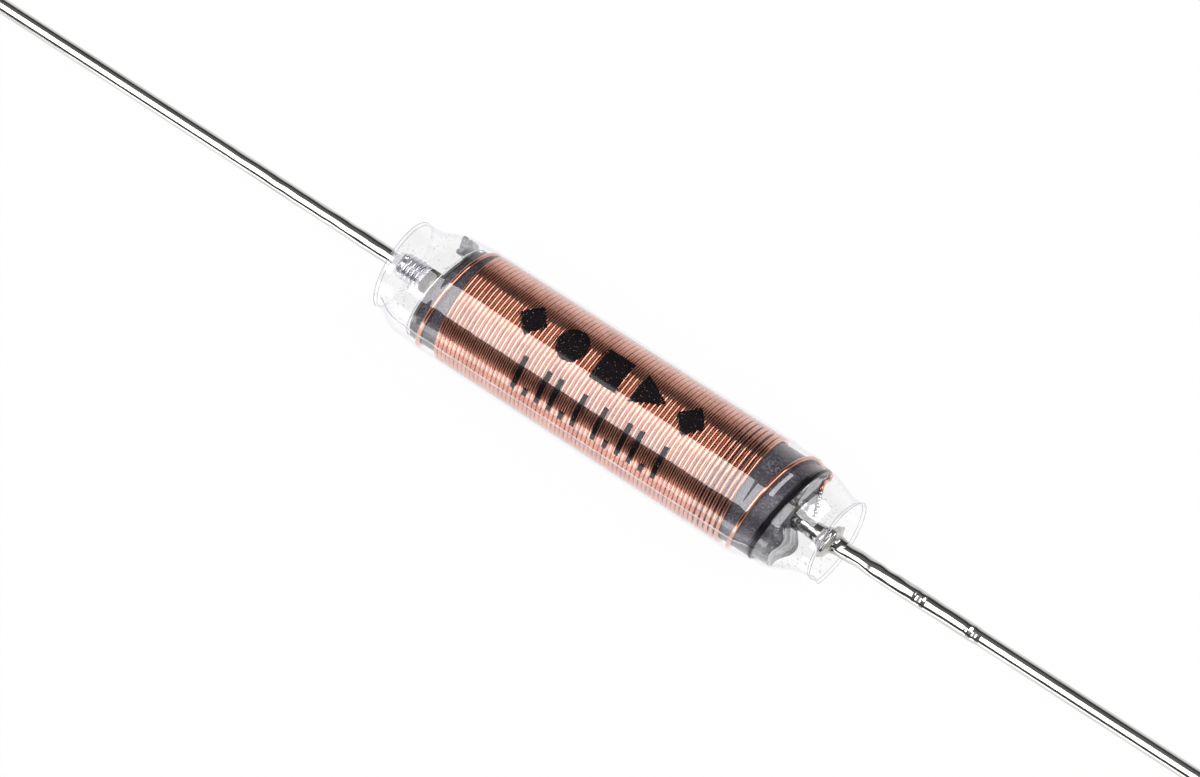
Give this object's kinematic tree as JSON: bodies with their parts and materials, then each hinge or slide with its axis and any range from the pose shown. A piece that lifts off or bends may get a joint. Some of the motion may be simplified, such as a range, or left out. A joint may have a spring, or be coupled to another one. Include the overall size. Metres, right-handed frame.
{
  "type": "axial inductor",
  "caption": "Axial inductor: enamelled copper wire wound in one layer on a ferrite rod, under a clear shrunk sleeve, with a straight tinned lead at each end.",
  "frame": {"origin": "middle of the ferrite rod on its axis, which is also the middle of the part's bounding box", "axes": "+X along the leads, towards the end with the solder flange; +Y to the side where the rod's right end is longest; +Z square to both"},
  "size_m": [0.1018, 0.0064, 0.0064],
  "materials": {
    "ferrite": "satin, dark grey",
    "enamelled_copper": "glossy enamel over copper",
    "tinned_lead": "dull bright tin with drawing marks",
    "solder": "satin solder",
    "clear_sleeve": "clear and glossy",
    "glue": "cloudy resin"
  },
  "bodies": {
    "root": {"ferrite_core": "ferrite", "winding": "enamelled_copper", "lead_wire_left": "tinned_lead", "lead_wire_right": "tinned_lead", "solder_joint_left": "solder", "solder_joint_right": "solder", "insulating_sleeve": "clear_sleeve", "glue_left": "glue", "glue_right": "glue"}
  },
  "joints": []
}
